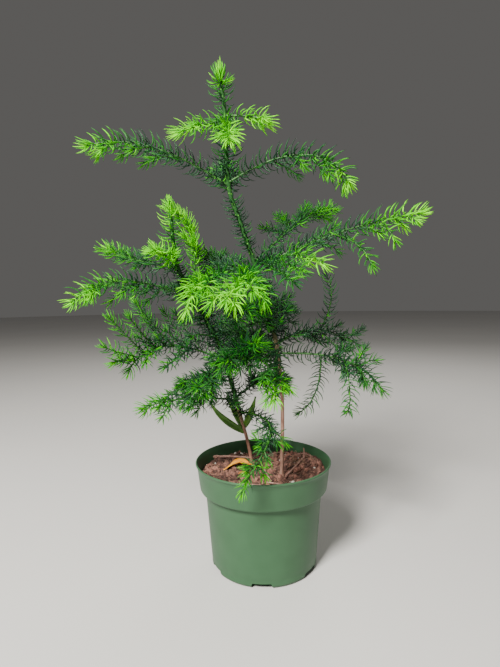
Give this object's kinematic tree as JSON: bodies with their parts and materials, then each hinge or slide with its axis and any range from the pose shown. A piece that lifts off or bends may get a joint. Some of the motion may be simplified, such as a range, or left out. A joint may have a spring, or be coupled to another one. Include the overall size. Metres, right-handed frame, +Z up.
{
  "type": "potted norfolk island pine",
  "caption": "Young norfolk island pine with tiered, needle-covered branches on two slender stems, growing in a plain tapered green nursery pot.",
  "frame": {"origin": "centre of the pot's flat underside", "axes": "+Z up along the pot's axis, +X to the right in the plant's front view, +Y to its back"},
  "size_m": [0.2662, 0.1987, 0.4105],
  "materials": {
    "pot_plastic": "satin green moulded plastic",
    "potting_mix": "rough brown peat and bark mix",
    "bark": "thin pinkish brown bark",
    "green_stem": "green young bark with pale dots",
    "needles_dark": "deep bluish green needles",
    "needles_mid": "mid green needles",
    "needles_bright": "lime green new needles",
    "seed_leaf": "olive green strap leaf"
  },
  "bodies": {
    "root": {"bough_leaning_2_left": "green_stem", "bough_leaning_3_left": "green_stem", "bough_leaning_3_right": "green_stem", "bough_leaning_4_front": "green_stem", "bough_tall_2_left": "green_stem", "bough_tall_2_right": "green_stem", "bough_tall_3_back_left": "green_stem", "bough_tall_3_back_right": "green_stem", "bough_tall_3_front": "green_stem", "bough_tall_3_right": "green_stem", "bough_tall_4_right_low": "green_stem", "bough_tall_4_right_mid": "green_stem", "leader_leaning": "needles_bright", "leader_tall": "needles_bright", "pot": "pot_plastic", "potting_mix": "potting_mix", "seed_leaf_left": "seed_leaf", "seed_leaf_right": "seed_leaf", "seed_leaf_upper": "seed_leaf", "spray_leaning_1_left_back": "needles_mid", "spray_leaning_1_left_front": "needles_mid", "spray_leaning_1_upright": "needles_bright", "spray_leaning_2_back": "needles_dark", "spray_leaning_2_left": "needles_mid", "spray_leaning_2_right": "needles_dark", "spray_leaning_3_back": "needles_dark", "spray_leaning_3_front": "needles_dark", "spray_leaning_3_left": "needles_dark", "spray_leaning_3_left_low": "needles_dark", "spray_leaning_3_right": "needles_mid", "spray_leaning_4_back": "needles_dark", "spray_leaning_4_front": "needles_dark", "spray_leaning_4_left": "needles_dark", "spray_tall_1_back": "needles_bright", "spray_tall_1_front": "needles_bright", "spray_tall_1_left": "needles_bright", "spray_tall_1_right": "needles_bright", "spray_tall_2_back": "needles_mid", "spray_tall_2_left": "needles_mid", "spray_tall_2_right": "needles_mid", "spray_tall_3_back_left": "needles_dark", "spray_tall_3_back_right": "needles_dark", "spray_tall_3_front": "needles_bright", "spray_tall_3_front_left": "needles_bright", "spray_tall_3_front_right": "needles_bright", "spray_tall_3_right": "needles_mid", "spray_tall_4_back": "needles_dark", "spray_tall_4_back_left": "needles_dark", "spray_tall_4_front": "needles_bright", "spray_tall_4_front_left": "needles_dark", "spray_tall_4_right_low": "needles_dark", "spray_tall_4_right_mid": "needles_dark", "stem_needles_leaning": "needles_dark", "stem_needles_tall_high": "needles_dark", "stem_needles_tall_low": "needles_dark", "stem_needles_tall_mid": "needles_dark", "trunk_leaning": "bark", "trunk_tall": "bark"}
  },
  "joints": []
}
